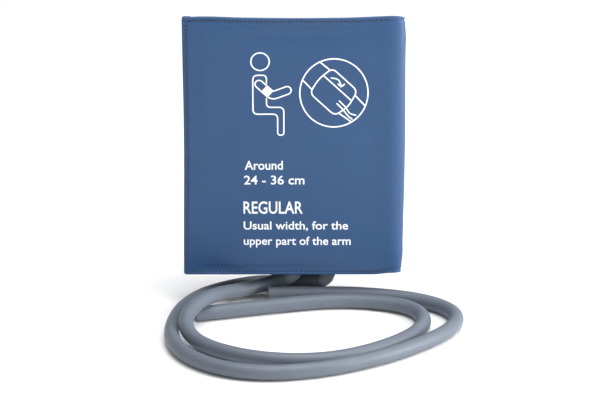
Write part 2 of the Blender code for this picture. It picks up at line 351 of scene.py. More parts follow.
# Route points of the hoses: x, y, height of the centreline above the ground
HOSE_1_ROUTE = [
    (-4.2, 0.9, 11.4), (-9.6, 2.9, 8.8), (-15.4, 3.6, 6.6), (-21.2, 1.3, 5.8), (-26.9, -3.5, 6.3),
    (-32.6, -10.2, 7.8), (-38, -17.8, 9.8), (-42.7, -25.4, 11.6), (-47.2, -32.9, 12.7), (-51.6, -40.2, 12.6),
    (-54.9, -47.2, 11.4), (-56.7, -54, 9.6), (-56.3, -60.6, 7.7), (-53.8, -66.7, 5.9), (-49.4, -72.4, 4.7),
    (-43.4, -78.2, LIE), (-36.1, -84, LIE), (-27.4, -89, LIE), (-17.6, -92.8, LIE), (-6.8, -95.1, LIE),
    (3.5, -95.7, LIE), (14.3, -94.6, LIE), (24.6, -91.6, LIE), (35.3, -86.4, LIE), (46, -79, LIE),
    (56, -69.8, LIE), (64.3, -59.3, LIE), (68.9, -48, LIE), (69.2, -37.3, LIE), (65.4, -28.3, LIE),
    (58, -21.9, LIE), (48, -17.8, LIE), (36.8, -15.4, LIE), (25.3, -14.9, LIE), (14.4, -16.1, LIE),
    (3.5, -18.3, LIE), (-7.3, -21.1, LIE), (-18.2, -24, LIE), (-28.9, -27, LIE), (-53.2, -34.1, LIE),
]
HOSE_2_ROUTE = [
    (14.4, 2.2, 9.6), (10, 4.6, 8.5), (4.6, 7.2, 7.2), (-1.4, 9.6, 5.9), (-8, 11.4, 4.7),
    (-15.2, 12.2, LIE), (-22.6, 10.9, LIE), (-29.7, 7.8, LIE), (-36.5, 4, LIE), (-43.3, -0.8, LIE),
    (-49.6, -6.8, LIE), (-55, -14.8, LIE), (-59.6, -25, LIE), (-62.8, -38, LIE), (-64.3, -52, LIE),
    (-63.6, -66, LIE), (-59.8, -79.6, LIE), (-52.2, -92, LIE), (-41.6, -101.6, LIE), (-29.4, -107.8, LIE),
    (-17, -110.4, LIE), (-6.7, -110.6, LIE), (3, -109, LIE), (12.7, -106.6, LIE), (23, -103, LIE),
    (43.8, -92, LIE), (54.3, -84.5, LIE), (64.3, -76, LIE), (74.3, -66, LIE), (82.4, -55, LIE),
    (86.9, -43.8, LIE), (86.5, -33.4, LIE), (81.6, -24.6, LIE), (74.4, -18, LIE), (65.7, -13, LIE),
    (56.6, -9.7, LIE), (36.4, -5.6, LIE), (14.5, -4.3, LIE), (-6, -4.4, LIE), (-14.1, -4.7, LIE),
]


def smooth_route(route, step):
    """Even points along a centripetal Catmull-Rom curve through the route's points, and its length."""
    points = np.array([(x, y, GROUND + h) for x, y, h in route], float)
    points = np.vstack([2 * points[0] - points[1], points, 2 * points[-1] - points[-2]])
    cuts = 12         # points of the curve between two points of the route
    fine = []
    for a, b, c, d in zip(points, points[1:], points[2:], points[3:]):
        t1 = math.sqrt(np.linalg.norm(b - a))
        t2 = t1 + math.sqrt(np.linalg.norm(c - b))
        t3 = t2 + math.sqrt(np.linalg.norm(d - c))
        for k in range(cuts):
            t = t1 + (t2 - t1) * k / cuts
            ab = a + (b - a) * t / t1
            bc = b + (c - b) * (t - t1) / (t2 - t1)
            cd = c + (d - c) * (t - t2) / (t3 - t2)
            abc = ab + (bc - ab) * t / t2
            bcd = bc + (cd - bc) * (t - t1) / (t3 - t1)
            fine.append(abc + (bcd - abc) * (t - t1) / (t2 - t1))
    even, length = evenly(fine + [points[-2]], lambda total: int(round(total / step)) + 1)
    for _ in range(2):
        even[1:-1] = 0.25 * even[:-2] + 0.5 * even[1:-1] + 0.25 * even[2:]
    return even, length


def frames_along(path):
    """A tangent and two side directions at each point, carried along without twisting."""
    tangents = unit(np.gradient(path, axis=0))
    side = np.cross(tangents[0], (0, 0, 1.0))
    sides = []
    for tangent in tangents:
        side = unit(side - tangent * side.dot(tangent))
        sides.append(side)
    return tangents, np.array(sides), np.cross(tangents, sides)


def hose_sections(last):
    """Rings of a hollow hose from its joint to inside its bore: path index, shift along it and radius."""
    sections = [(0, 0.0, HOSE_RADIUS / 2), (0, 0.0, HOSE_RADIUS - 0.05), (0, 0.1, HOSE_RADIUS)]
    sections += [(k, 0.0, HOSE_RADIUS) for k in range(1, last)]
    for angle in np.radians((0.0, 22.5, 45.0, 67.5, 90.0)):
        back, inward = END_LIP * (1 - math.sin(angle)), END_LIP * (1 - math.cos(angle))
        sections.append((last, -back, HOSE_RADIUS - inward))
    sections.append((last, 0.0, (HOSE_RADIUS + BORE_RADIUS) / 2))
    sections += [(last, 0.0, BORE_RADIUS + 0.2), (last, -0.2, BORE_RADIUS)]
    return sections + [(last - k, 0.0, BORE_RADIUS) for k in range(1, int(BORE_DEPTH / RING_STEP))]


def make_hose(number, route):
    path, length = smooth_route(route, RING_STEP)
    tangents, sides, ups = frames_along(path)
    angles = np.arange(HOSE_SIDES) * 2 * math.pi / HOSE_SIDES
    across, upward = np.cos(angles)[:, None], np.sin(angles)[:, None]
    rings = []
    for index, shift, radius in hose_sections(len(path) - 1):
        wobble = 1 + 0.006 * math.sin(index * 0.21) + 0.004 * math.sin(index * 0.057 + 1.3)
        oval = across * sides[index] * wobble + upward * ups[index] / wobble
        rings.append(path[index] + tangents[index] * shift + oval * radius)
    faces = tube_faces(len(rings), HOSE_SIDES)
    hose = outward(mesh_piece(f"hose_{number}_tube", np.concatenate(rings), faces, [HOSE]))
    sharpen(hose, 50)
    return hose, path, length


def bezier(p0, p1, p2, p3, t):
    u = 1 - t
    point = p0 * u ** 3 + 3 * p1 * u * u * t + 3 * p2 * u * t * t + p3 * t ** 3
    return point, unit(3 * (p1 - p0) * u * u + 6 * (p2 - p1) * u * t + 3 * (p3 - p2) * t * t)


def make_strain_relief(number, route):
    """A moulded elbow with shallow grip rings, flat at the port and round where it meets the hose."""
    low, high = node_box(f"bladder_port_{number}")
    clearance = 0.3
    start = np.array([(low[0] + high[0]) / 2, (low[1] + high[1]) / 2, low[2] - clearance])
    first, second = (np.array([x, y, GROUND + h]) for x, y, h in route[:2])
    way = unit(second - first)
    end = first - way * clearance
    port_half = np.array((4.5, 1.9))      # half width and half thickness at the port
    steps, count, grips = 48, 40, 5
    angles = np.arange(count) * 2 * math.pi / count
    rings = []
    for k in range(steps + 1):
        t = k / steps
        centre, tangent = bezier(start, start - np.array([0, 0, 6.5]), end - way * 5.0, end, t)
        across = unit(np.cross((0, 1, 0), tangent))
        through = np.cross(tangent, across)
        growth = smooth(0.5, 1.0, t)
        grip = 0.1 * max(0.0, math.sin(t * grips * 2 * math.pi)) if 0.1 < t < 0.92 else 0.0
        margin = 0.14 * (1 - growth) + 0.02
        width, thickness = port_half + (HOSE_RADIUS - port_half) * growth - margin + grip * (1 - growth)
        oval = np.outer(np.cos(angles), across) * width + np.outer(np.sin(angles), through) * thickness
        rings.append(centre + oval)
    faces = tube_faces(steps + 1, count)
    relief = outward(mesh_piece(f"strain_relief_{number}_moulded", np.concatenate(rings), faces, [RELIEF]))
    sharpen(relief, 50)
    settle(relief, "bladder_panel", f"strain_relief_{number}")
    return relief


for number, route in ((1, HOSE_1_ROUTE), (2, HOSE_2_ROUTE)):
    relief = make_strain_relief(number, route)
    hose, path, length = make_hose(number, route)
    settle(hose, "bladder_panel", f"hose_{number}")


# ---- panels

WALL = 0.6            # thickness of the outer sheet
FLAP = 4.4            # width of the turned hem on the lining side
STITCH_IN = 1.9       # the seam's distance from a free edge
STITCH_PITCH = 2.1
HEM_DEPTH = 2.2       # thickness of the sewn hem
SEAM_GROOVE = 0.28    # how deep the seam pulls the sheet in
PUCKER = 0.09         # rise and fall of the sheet between its stitches
CORNER = 1.8          # radius of the free corners
FOLD_ROOM = 3.9       # how much of a panel's width is left to the fold beside it
WIDE_FOLD_ROOM = 7.4  # the same for the loose fold at the front
LEFT_REACH = 0.2      # how far the strip's folds reach past the CAD panels
RIGHT_REACH = 0.6
LINING_IN = 1.3       # how far the lining's edge stays inside the cover's
FLAT_START = 6.0      # distance from an edge where the even grid begins
FULL_IN = 20.0        # inset past which nothing changes any more
FAR_IN = 90.0         # from here on a cover's points count every edge, and not the left one alone

# Insets of the points beside a hem, on its flap and on the outer face, and degrees of turn round its edge
FLAP_BANDS = (FLAP, FLAP - 0.5, 3.2, 2.5, STITCH_IN, 1.4)
FACE_BANDS = (1.25, 1.6, STITCH_IN, 2.3, 2.8, 3.4, 4.1, 5.0)
ROLL = (15, 40, 65, 90, 115, 140, 165)


def swell(inset):
    """0 on the flat hem, 1 where the panel has its full thickness."""
    return smooth(3.2, 13.0, inset)


def half_thickness(depth, inset):
    """From the middle of a panel to its face."""
    thick = HEM_DEPTH + (depth - HEM_DEPTH) * swell(inset)
    return thick / 2 - SEAM_GROOVE * hill(inset, STITCH_IN, 0.75)


def roll_point(angle):
    """Inset and side of a point on the hem's round edge."""
    turned = math.radians(angle)
    return HEM_DEPTH / 2 * (1 - math.sin(turned)), -math.cos(turned)


def hem_rows():
    """From the flap's end round the edge to the outer face: inset and side."""
    rows = [(inset, 1.0) for inset in FLAP_BANDS]
    rows += [roll_point(angle) for angle in reversed(ROLL)]
    return rows + [(inset, -1.0) for inset in FACE_BANDS]


class Panel:
    """One flat panel of the strip. A place on it is x, z and side: -1 on the outer sheet, 1 on the lining."""

    def __init__(self, name, faces_front, free_left, waves, top_drop=0.0, room=FOLD_ROOM):
        low, high = node_box(f"{name}_outer_cover")
        self.name = name
        self.inward = 1.0 if faces_front else -1.0
        self.front_y, self.back_y = low[1], high[1]
        self.face_y = low[1] if faces_front else high[1]
        self.depth = high[1] - low[1]
        self.free_left = free_left
        self.edge_left = low[0]
        self.x_left = low[0] if free_left else low[0] - LEFT_REACH + FOLD_ROOM
        self.x_right = high[0] + RIGHT_REACH - room
        self.z_low, self.z_high = low[2], high[2]
        self.waves, self.top_drop = waves, top_drop

    def left(self, z):
        return self.edge_left

    def bottom(self, x):
        return self.z_low

    def top(self, x):
        return self.z_high - self.top_drop * (0.72 + 0.28 * hill(x, 2.0, 26.0))

    def inset(self, x, z):
        """Distance from the nearest hemmed edge."""
        nearest = np.minimum(z - self.bottom(x), self.top(x) - z)
        if self.free_left:
            nearest = np.minimum(nearest, x - self.left(z))
        return nearest

    def clear_of_folds(self, x, reach):
        """1 inside the panel, down to 0 where it meets a fold."""
        share = smooth(0.0, reach, self.x_right - x)
        if not self.free_left:
            share = share * smooth(0.0, reach, x - self.x_left)
        return share

    def y(self, x, z, side, inset=None):
        """Depth position on the outer sheet (side -1), the lining (side 1) or the hem between them."""
        if inset is None:
            inset = self.inset(x, z)
        between_stitches = np.cos(2 * math.pi * (x + z) / STITCH_PITCH) * hill(inset, STITCH_IN, 1.3)
        pucker = PUCKER * between_stitches * self.clear_of_folds(x, 3.0)
        bend = self.waves(x, z) * self.clear_of_folds(x, 9.0) * smooth(0.6, 3.4, inset)
        if side > 0:
            bend = bend * (1 - 0.7 * swell(inset))
        offset = side * half_thickness(self.depth, inset) + pucker + bend
        return self.face_y + self.inward * (self.depth / 2 + offset)


class FrontPanel(Panel):
    """The strap end, whose hand-cut outline is not quite square."""

    def left(self, z):
        return self.edge_left + 0.007 * z - 0.75 + 0.7 * hill(z, 8.0, 48.0)

    def bottom(self, x):
        return self.z_low - 0.75 + 1.3 * smooth(42.0, 58.0, x)

    def top(self, x):
        dip = -0.55 - 0.35 * hill(x, 2.0, 24.0) + 0.55 * hill(x, -46.0, 12.0)
        return self.z_high + dip + 0.95 * smooth(26.0, 58.0, x)


def front_waves(x, z):
    """The front panel's dents at its lower left, bottom and top, a slanting crease and a slow roll."""
    dent = 1.1 * hill(x + 0.35 * z, -68.0, 12.0) * hill(z, -70.0, 9.0)
    bottom = 1.3 * hill(x, 4.0, 26.0) * (1 - smooth(-70.0, -57.0, z))
    top = 1.0 * hill(x, 6.0, 28.0) * hill(z, 65.0, 5.5)
    crease = 0.16 * hill(x - 0.5 * z, 62.0, 6.0) * hill(z, -20.0, 30.0)
    roll = 0.28 * np.sin(x / 31.0 + 0.6) * np.sin(z / 44.0 + 0.9)
    return dent + bottom + top + crease + roll


def loose_waves(phase, size):
    def waves(x, z):
        broad = np.sin(x / 23.0 + phase) * np.cos(z / 37.0 + 2 * phase)
        return size * (broad + 0.4 * np.sin(z / 14.0 + x / 29.0))
    return waves


def panel_columns(panel, spacing):
    """Columns from the turned hem, round a free left edge, to the right fold: inset or x, and side."""
    columns = [("edge", inset, side) for inset, side in hem_rows()] if panel.free_left else []
    start = panel.x_left + (FLAT_START if panel.free_left else 0.0)
    count = max(2, int(round((panel.x_right - start) / spacing)))
    return columns + [("flat", start + (panel.x_right - start) * k / count, -1.0) for k in range(count + 1)]


def panel_rows(panel, spacing):
    """Rows from the lower flap's end to the upper one's: inset or share of the height, and side."""
    height = panel.z_high - panel.z_low
    low, high = FLAT_START, height - FLAT_START
    count = int(round((high - low) / spacing))
    rows = [("bottom", inset, side) for inset, side in hem_rows()]
    rows += [("flat", (low + (high - low) * k / count) / height, -1.0) for k in range(count + 1)]
    return rows + [("top", inset, side) for inset, side in reversed(hem_rows())]


def round_corner(panel, x, z, top):
    """Moves points of a free corner's square zone onto round rings."""
    a = CORNER - (x - panel.left(z))
    edge = panel.top(x) if top else panel.bottom(x)
    b = CORNER - (edge - z if top else z - edge)
    if a <= 0 or b <= 0:
        return x, z
    shrink = max(a, b) / math.hypot(a, b)
    rise = CORNER - b * shrink
    return panel.left(z) + CORNER - a * shrink, edge - rise if top else edge + rise


def make_cover(panel, spacing, cut=None):
    """The outer sheet with its hems turned over the free edges onto the lining."""
    columns, rows = panel_columns(panel, spacing), panel_rows(panel, spacing)
    points = []
    for row_kind, row_value, row_side in rows:
        for column_kind, column_value, column_side in columns:
            x = column_value if column_kind == "flat" else panel.left(0.0) + column_value
            low, high = panel.bottom(x), panel.top(x)
            if row_kind == "flat":
                z = mix(low, high, row_value)
            else:
                z = low + row_value if row_kind == "bottom" else high - row_value
            if column_kind == "edge":
                x = panel.left(z) + column_value
            if panel.free_left and row_kind != "flat" and column_kind == "edge":
                x, z = round_corner(panel, x, z, row_kind == "top")
            insets = [] if row_kind == "flat" else [row_value]
            if column_kind == "edge":
                insets.append(column_value)
            elif panel.free_left:
                insets.append(column_value - panel.left(z))
            inset = min(insets, default=FAR_IN)
            side = max(row_side, column_side)
            points.append((x, panel.y(x, z, side, min(inset, FULL_IN) if inset < FAR_IN else None), z))
    turned, rolled = len(FLAP_BANDS), len(FLAP_BANDS) + len(ROLL)

    def keep(i, j):
        in_row_flap = j < turned or j >= len(rows) - 1 - turned
        return not (panel.free_left and i < rolled and in_row_flap)

    faces = grid_faces(len(rows), len(columns), keep, flip=panel.inward < 0)
    piece = mesh_piece(f"{panel.name}_sheet", points, faces, [OUTER])
    shell = piece.modifiers.new("thickness", "SOLIDIFY")
    shell.thickness = WALL * MM
    shell.offset = -1.0
    if cut:
        cut(piece)
    apply_modifiers(piece)
    piece.data.shade_smooth()
    sharpen(piece, 45)
    settle(piece, panel.name, f"{panel.name}_outer_cover")


def make_lining(panel, spacing=2.0):
    """The inner sheet: it runs under the turned hems and lies flat inside them."""
    left = panel.left(0.0) + LINING_IN if panel.free_left else panel.x_left
    xs = np.linspace(left, panel.x_right, int((panel.x_right - left) / spacing) + 1)
    count = int((panel.z_high - panel.z_low) / spacing)
    thickness = 0.5
    points = []
    for back in (0.0, thickness):
        for j in range(count + 1):
            for i, x in enumerate(xs):
                low, high = panel.bottom(x) + LINING_IN, panel.top(x) - LINING_IN
                z = low + (high - low) * j / count
                if panel.free_left and i == 0:
                    x = panel.left(z) + LINING_IN
                inset = panel.inset(x, z)
                under_hem = 0.68 - 0.56 * smooth(FLAP - 0.2, FLAP + 1.6, inset)
                points.append((x, panel.y(x, z, 1.0, inset) - panel.inward * (under_hem + back), z))
    piece = outward(mesh_piece(f"{panel.name}_lining_sheet", points, slab_faces(count + 1, len(xs)), [INNER]))
    sharpen(piece, 50)
    settle(piece, panel.name, f"{panel.name}_lining")


# ---- folds

def fold_rows(panel):
    """Rows round the closed section of a fold: up its outside, over the top, down its inside, underneath."""
    height = panel.z_high - panel.z_low
    flats = np.linspace(FLAT_START, height - FLAT_START, 60) / height
    rows = []
    for side, order, near, far in ((-1.0, 1, "bottom", "top"), (1.0, -1, "top", "bottom")):
        rows += [(near, inset, side) for inset in FACE_BANDS]
        rows += [("flat", value, side) for value in flats[::order]]
        rows += [(far, inset, side) for inset in reversed(FACE_BANDS)]
        rows += [(far, *roll_point(angle)) for angle in ROLL[::order]]
    return rows


def fold_skin(name, first, second, right, bulge):
    """The soft U between two panels: a closed slab with an outer skin, an inner skin and round hems.

    first is the panel in front. Its outer side is the outer sheet at a right fold, the lining at a left one.
    """
    sign = 1.0 if right else -1.0
    x_start = first.x_right if right else first.x_left
    middle, half = (first.front_y + second.back_y) / 2, (second.back_y - first.front_y) / 2
    steps = 26
    rows = fold_rows(first)
    points = np.zeros((len(rows), steps + 1, 3))
    for i in range(steps + 1):
        turn = math.pi * i / steps
        share = (1 - math.cos(turn)) / 2
        depth = mix(first.depth, second.depth, share)
        low = mix(first.bottom(x_start), second.bottom(x_start), share)
        high = mix(first.top(x_start), second.top(x_start), share)
        for j, (end, value, side) in enumerate(rows):
            if end == "flat":
                z = mix(low, high, value)
                inset = min(z - low, high - z)
            else:
                z = low + value if end == "bottom" else high - value
                inset = value
            inward = depth / 2 + side * half_thickness(depth, inset)
            radial = max(half - inward, 0.12)
            room = bulge * max(1 - inward / half * 0.9, 0.08)
            soft = 0.25 * math.sin(z / 19.0 + bulge) * math.sin(turn) ** 2 * smooth(8.0, 20.0, inset)
            x = x_start + sign * (math.sin(turn) * room + soft)
            points[j, i] = (x, middle - math.cos(turn) * radial, z)
    faces = grid_faces(len(rows), steps + 1, close_rows=True)
    sheets = []
    for end, value, side in rows:
        on_flap = end != "flat" and value <= FLAP
        outer_sheet = side < 0.5 if right else side > -0.5 or on_flap
        sheets += [0 if outer_sheet else 1] * steps
    ends = [j * (steps + 1) for j in range(len(rows))]
    faces += [tuple(ends), tuple(end + steps for end in reversed(ends))]
    piece = outward(mesh_piece(name, points.reshape(-1, 3), faces, [OUTER, INNER], sheets + [0, 0]))
    sharpen(piece, 60)
    return piece


# ---- seams

# Along a stitch from end to end: place, share of the full radius, and depth that its ends dive into the sheet
STITCH_PROFILE = ((-1.0, 0.12, 0.4), (-0.8, 0.75, 0.2), (-0.35, 1.0, 0.02), (0.0, 1.0, 0.0),
                  (0.35, 1.0, 0.02), (0.8, 0.75, 0.2), (1.0, 0.12, 0.4))
STITCH_LENGTH = 1.3
THREAD_RADIUS = 0.38
THREAD_SIDES = 8


def stitch_run(name, places):
    """Short threads. Each place is a middle, a direction along the seam and a direction out of the sheet."""
    angles = np.arange(THREAD_SIDES) * 2 * math.pi / THREAD_SIDES
    points, faces = [], []
    for middle, along, out in places:
        across = np.cross(along, out)
        faces += tube_faces(len(STITCH_PROFILE), THREAD_SIDES, len(points))
        for place, share, sink in STITCH_PROFILE:
            centre = middle + along * place * STITCH_LENGTH / 2 - out * sink
            radius = THREAD_RADIUS * share
            points += [centre + across * radius * math.cos(angle) + out * radius * 0.85 * math.sin(angle)
                       for angle in angles]
    return outward(mesh_piece(name, points, faces, [THREAD]))


def panel_seam_places(panel, side):
    """Stitches along the hems of one side of a panel, each a little out of line."""
    out = np.array([0.0, side * panel.inward, 0.0])
    lift = out * 0.1
    left = panel.left(0.0) + STITCH_IN if panel.free_left else panel.x_left + 0.4
    places = []
    for edge, into in ((panel.bottom, 1), (panel.top, -1)):
        for k in range(int((panel.x_right - left) / STITCH_PITCH) + 1):
            x = left + k * STITCH_PITCH
            z = edge(x) + into * STITCH_IN
            swing, shift = rng.normal(0, 0.05, 2)
            along = unit(np.array([1.0, swing * 0.4, edge(x + 1) - edge(x)]))
            places.append((np.array([x + shift, panel.y(x, z, side, STITCH_IN), z]) + lift, along, out))
    if panel.free_left:
        low, high = panel.z_low + STITCH_IN + 1.5, panel.z_high - STITCH_IN - 1.2
        for k in range(int((high - low) / STITCH_PITCH) + 1):
            z = low + k * STITCH_PITCH
            x = panel.left(z) + STITCH_IN
            swing, shift = rng.normal(0, 0.05, 2)
            along = unit(np.array([0.017, swing * 0.4, 1.0]))
            places.append((np.array([x, panel.y(x, z, side, STITCH_IN), z + shift]) + lift, along, out))
    return places


def make_seam(panel):
    seam = stitch_run(f"{panel.name}_seam", panel_seam_places(panel, -1.0) + panel_seam_places(panel, 1.0))
    settle(seam, panel.name)


PANELS = {
    "strap_end": FrontPanel("strap_end", True, True, front_waves, room=WIDE_FOLD_ROOM),
    "strap": Panel("strap", False, False, loose_waves(0.4, 0.12), 1.3, WIDE_FOLD_ROOM),
    "bladder": Panel("bladder_panel", True, False, loose_waves(1.3, 0.12), 2.1),
    "bladder_end": Panel("bladder_end", False, True, loose_waves(2.1, 0.2), 2.6),
}


def cut_slot(piece):
    """The hose exit slot in the bladder panel's bottom hem."""
    low, high = node_box("bladder_panel_outer_cover")
    bpy.ops.mesh.primitive_cube_add(size=1.0)
    cutter = bpy.context.object
    cutter.name = "slot_cutter"
    cutter.scale = (37.0 * MM, 12.0 * MM, 7.0 * MM)
    cutter.location = (5.5 * MM, (low[1] + high[1]) / 2 * MM, low[2] * MM)
    cutter.hide_render = True
    bpy.context.view_layer.update()
    slot = piece.modifiers.new("slot", "BOOLEAN")
    slot.operation = "DIFFERENCE"
    slot.object = cutter
    apply_modifiers(piece)
    bpy.data.objects.remove(cutter)


make_cover(PANELS["strap_end"], 0.9)
make_cover(PANELS["strap"], 1.6)
make_cover(PANELS["bladder"], 1.6, cut_slot)
make_cover(PANELS["bladder_end"], 1.3)
for panel in PANELS.values():
    make_lining(panel)
    make_seam(panel)

# Each fold: name, the panel in front, the one behind, whether it is on the right, and how far it bulges
FOLDS = (
    ("strap_end_fold_skin", "strap_end", "strap", True, 8.0),
    ("strap_fold_skin", "strap", "bladder", False, 2.9),
    ("bladder_end_fold_skin", "bladder", "bladder_end", True, 3.5),
)
for name, first, second, right, bulge in FOLDS:
    a, b = PANELS[first], PANELS[second]
    skin = fold_skin(name, a, b, right, bulge)
    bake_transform(skin)


# ---- inside the panels

def closed_slab(name, xs, zs, front, back, material, shrink=0.0):
    """A closed slab between two surfaces, given as functions of x and z. Its rim thins over shrink."""
    grid_x, grid_z = np.meshgrid(xs, zs)
    layers = [surface(grid_x, grid_z) for surface in (front, back)]
    middle = (layers[0] + layers[1]) / 2
    edge_x = np.minimum(grid_x - xs[0], xs[-1] - grid_x)
    edge_z = np.minimum(grid_z - zs[0], zs[-1] - grid_z)
    rim = smooth(-0.01, shrink + 0.01, np.minimum(edge_x, edge_z)) if shrink else 1.0
    points = []
    for layer in layers:
        y = middle + (layer - middle) * (0.25 + 0.75 * rim)
        points += list(np.stack([grid_x, y, grid_z], axis=-1).reshape(-1, 3))
    piece = outward(mesh_piece(name, points, slab_faces(len(zs), len(xs)), [material]))
    sharpen(piece, 50)
    return piece


def even_steps(low, high, step):
    return np.linspace(low, high, max(2, int(round((high - low) / step)) + 1))


def edge_distance(x, z, x_ends, z_ends):
    """Distance from the nearest edge of a rectangle."""
    across = np.minimum(x - x_ends[0], x_ends[-1] - x)
    return np.minimum(across, np.minimum(z - z_ends[0], z_ends[-1] - z))


def make_interlining(panel):
    """The felt stiffener, slightly uneven, midway between outer sheet and lining."""
    def face(side):
        def surface(x, z):
            ripple = 0.06 * np.sin(x * 0.9 + z * 0.35) * np.sin(z * 0.8)
            offset = side * (0.3 + ripple) + 0.7 * panel.waves(x, z)
            return panel.face_y + panel.inward * (panel.depth / 2 + offset)
        return surface

    left = panel.edge_left + 9.0 if panel.free_left else panel.x_left + 1.0
    xs = even_steps(left, panel.x_right - 1.0, 2.5)
    zs = even_steps(panel.z_low + 9.0, panel.z_high - 10.5, 2.5)
    felt_sheet = closed_slab(f"{panel.name}_felt", xs, zs, face(-1), face(1), FELT)
    settle(felt_sheet, panel.name, f"{panel.name}_interlining")


def make_bladder(panel, node, thickness, raised, lowered):
    """A flat air bag with a welded rim and shallow uneven creases, a little lower than its CAD node."""
    low, high = node_box(node)
    left = panel.edge_left + 8.0 if panel.free_left else panel.x_left + 1.0
    xs = even_steps(left, panel.x_right - 1.0, 1.5)
    zs = even_steps(low[2] + raised, high[2] - lowered, 1.5)

    def face(side):
        def surface(x, z):
            edge = edge_distance(x, z, xs, zs)
            weld = 0.45 + 0.55 * smooth(3.5, 7.5, edge) - 0.12 * hill(edge, 3.6, 0.7)
            crease = 1 - 0.1 * np.abs(np.sin(x / 17.0 + z / 29.0)) * smooth(8.0, 20.0, edge)
            offset = side * thickness / 2 * weld * crease - 0.15
            return panel.face_y + panel.inward * (panel.depth / 2 + offset)
        return surface

    bag = closed_slab(f"{node}_bag", xs, zs, face(-1), face(1), BLADDER, 1.5)
    settle(bag, panel.name, node)


make_interlining(PANELS["strap_end"])
make_interlining(PANELS["strap"])
make_bladder(PANELS["bladder"], "bladder_front_half", 3.4, 0.0, 3.0)
make_bladder(PANELS["bladder_end"], "bladder_rear_half", 1.5, 1.0, 4.0)


# ---- hook and loop patches

PATCH_THICKNESS = 0.75
PATCH_SEAM_IN = 1.6       # the seam's distance from a patch's border
PATCH_PITCH = 2.4


def border_stitches(low, high, surface_y, out):
    """Stitches a little inside the border of a patch."""
    left, bottom = low[0] + PATCH_SEAM_IN, low[2] + PATCH_SEAM_IN
    right, top = high[0] - PATCH_SEAM_IN, high[2] - PATCH_SEAM_IN
    width, _, height = high - low - 2 * PATCH_SEAM_IN
    level, upright = np.array([1.0, 0, 0]), np.array([0, 0, 1.0])
    places = []
    for x, z, length, along in ((left, bottom, width, level), (left, top, width, level),
                                (left, bottom, height, upright), (right, bottom, height, upright)):
        for k in range(int(length / PATCH_PITCH)):
            middle = np.array([x, 0.0, z]) + along * (k + 0.7) * PATCH_PITCH
            middle[1] = surface_y(middle[0], middle[2])
            places.append((middle + out * 0.08, along, out))
    return places


def make_patch(node, panel, side, material, bumps, step):
    """A fastener patch that follows the sheet it is sewn on. bumps adds its pile or its ribs."""
    low, high = node_box(node)
    out = np.array([0.0, side * panel.inward, 0.0])

    def base(x, z):
        return panel.y(x, z, side) - out[1] * 0.12

    def top(x, z):
        edge = edge_distance(x, z, (low[0], high[0]), (low[2], high[2]))
        height = PATCH_THICKNESS * (0.55 + 0.45 * smooth(0.0, 1.2, edge)) - 0.3 * hill(edge, 1.6, 0.6)
        return panel.y(x, z, side) + out[1] * (height + bumps(x, z, edge))

    xs, zs = even_steps(low[0], high[0], step), even_steps(low[2], high[2], step)
    patch = closed_slab(f"{node}_tape", xs, zs, base, top, material)
    patch.data.shade_smooth()
    settle(patch, panel.name, node)
    thread = stitch_run(f"{node}_thread", border_stitches(low, high, top, out))
    settle(thread, panel.name)
    return top, out


def pile(x, z, edge):
    """Tufts of looped fibre, pressed down in places."""
    tuft = rng.random(np.shape(x))
    pressed = 0.5 + 0.5 * np.sin(x / 11.0 + 1.1 * np.sin(z / 17.0))
    return (0.1 + 0.32 * tuft * (0.55 + 0.45 * pressed)) * smooth(1.8, 3.0, edge)


def ribs(x, z, edge):
    """Shallow upright ribs, 2 mm apart."""
    return 0.06 * np.cos(2 * math.pi * x / 2.0) * smooth(2.0, 3.0, edge)


# Up a hook from its foot: how far forward, how high, and its half width there
HOOK_PROFILE = ((0.0, 0.0, 0.17), (0.02, 0.3, 0.13), (0.12, 0.52, 0.11), (0.3, 0.5, 0.09), (0.38, 0.36, 0.06))
HOOK_PITCH = 1.8
HOOKS_IN = 3.0            # distance of the first hooks from the tape's border


def make_hooks(node, panel, top, out):
    """Rows of small bent hooks over the hook tape."""
    low, high = node_box(node)
    points, faces = [], []
    columns = int((high[0] - low[0] - 2 * HOOKS_IN) / HOOK_PITCH)
    rows = int((high[2] - low[2] - 2 * HOOKS_IN) / HOOK_PITCH)
    for j in range(rows + 1):
        for i in range(columns + 1):
            x = low[0] + HOOKS_IN + i * HOOK_PITCH + (HOOK_PITCH / 2 if j % 2 else 0.0)
            z = low[2] + HOOKS_IN + j * HOOK_PITCH
            if x > high[0] - 2.6:
                continue
            turn = (1 if i % 2 else -1) * (1.2 + rng.normal(0, 0.25))
            lean = np.array([math.cos(turn), 0.0, math.sin(turn)])
            across = np.cross(lean, out)
            foot = np.array([x, top(x, z) - out[1] * 0.05, z])
            faces += tube_faces(len(HOOK_PROFILE), 4, len(points))
            for forward, rise, half in HOOK_PROFILE:
                centre = foot + lean * forward + out * rise
                along = lean * half * 0.7
                points += [centre - across * half, centre + along, centre + across * half, centre - along]
    settle(outward(mesh_piece(f"{node}_hooks", points, faces, [HOOK])), panel.name)


tape_top, tape_out = make_patch("hook_patch", PANELS["strap_end"], 1.0, HOOK, ribs, 1.0)
make_hooks("hook_patch", PANELS["strap_end"], tape_top, tape_out)
make_patch("loop_patch", PANELS["bladder_end"], -1.0, LOOP, pile, 0.7)


# ---- print on the front panel

STROKE = 0.74
FINE_STROKE = 0.7
STROKE_STEP = 0.45        # distance between the points of a stroke
INSET_STRETCH = 1.045     # the round inset is printed slightly taller than wide
PRINT_LIFT = 0.05
FILM = 0.03               # thickness of the ink


